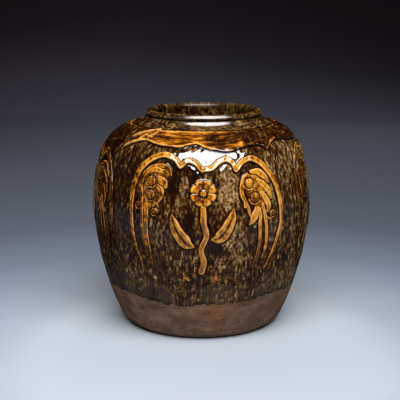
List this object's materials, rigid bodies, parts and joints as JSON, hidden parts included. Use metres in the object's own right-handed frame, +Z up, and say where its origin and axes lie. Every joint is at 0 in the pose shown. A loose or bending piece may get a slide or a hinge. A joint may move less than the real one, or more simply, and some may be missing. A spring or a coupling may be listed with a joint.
{
  "type": "glazed jar",
  "caption": "Wide-mouthed glazed stoneware jar with a rolled lip, a scalloped shoulder band and framed flower reliefs on a bare clay foot.",
  "frame": {"origin": "centre of the flat underside of the base", "axes": "+Z up along the axis that the jar is turned about; the front panel faces -Y and +X is to the right seen from the front"},
  "size_m": [0.2794, 0.2794, 0.27],
  "materials": {
    "dark_glaze": "glossy dark brown glaze with streaked mottling",
    "amber_glaze": "glossy amber glaze, thin on the raised edges",
    "olive_glaze": "glossy olive brown glaze, worn pale on the crest",
    "bare_clay": "matte unglazed stoneware, slightly pitted"
  },
  "bodies": {
    "root": {"base_disc": "bare_clay", "lower_body": "dark_glaze", "upper_body": "dark_glaze", "neck_collar": "olive_glaze", "lip_ring": "olive_glaze", "shoulder_band": "amber_glaze", "front_frame": "amber_glaze", "front_blossom": "amber_glaze", "front_stem": "amber_glaze", "front_leaf_left": "amber_glaze", "front_leaf_right": "amber_glaze", "front_left_bloom_upper": "amber_glaze", "front_left_bloom_lower": "amber_glaze", "front_left_crest": "amber_glaze", "front_left_stalks": "amber_glaze", "front_right_bloom_upper": "amber_glaze", "front_right_bloom_lower": "amber_glaze", "front_right_crest": "amber_glaze", "front_right_stalks": "amber_glaze", "right_frame": "amber_glaze", "right_blossom": "amber_glaze", "right_stem": "amber_glaze", "right_leaf_left": "amber_glaze", "right_leaf_right": "amber_glaze", "right_left_bloom_upper": "amber_glaze", "right_left_bloom_lower": "amber_glaze", "right_left_crest": "amber_glaze", "right_left_stalks": "amber_glaze", "right_right_bloom_upper": "amber_glaze", "right_right_bloom_lower": "amber_glaze", "right_right_crest": "amber_glaze", "right_right_stalks": "amber_glaze", "back_frame": "amber_glaze", "back_blossom": "amber_glaze", "back_stem": "amber_glaze", "back_leaf_left": "amber_glaze", "back_leaf_right": "amber_glaze", "back_left_bloom_upper": "amber_glaze", "back_left_bloom_lower": "amber_glaze", "back_left_crest": "amber_glaze", "back_left_stalks": "amber_glaze", "back_right_bloom_upper": "amber_glaze", "back_right_bloom_lower": "amber_glaze", "back_right_crest": "amber_glaze", "back_right_stalks": "amber_glaze", "left_frame": "amber_glaze", "left_blossom": "amber_glaze", "left_stem": "amber_glaze", "left_leaf_left": "amber_glaze", "left_leaf_right": "amber_glaze", "left_left_bloom_upper": "amber_glaze", "left_left_bloom_lower": "amber_glaze", "left_left_crest": "amber_glaze", "left_left_stalks": "amber_glaze", "left_right_bloom_upper": "amber_glaze", "left_right_bloom_lower": "amber_glaze", "left_right_crest": "amber_glaze", "left_right_stalks": "amber_glaze"}
  },
  "joints": []
}
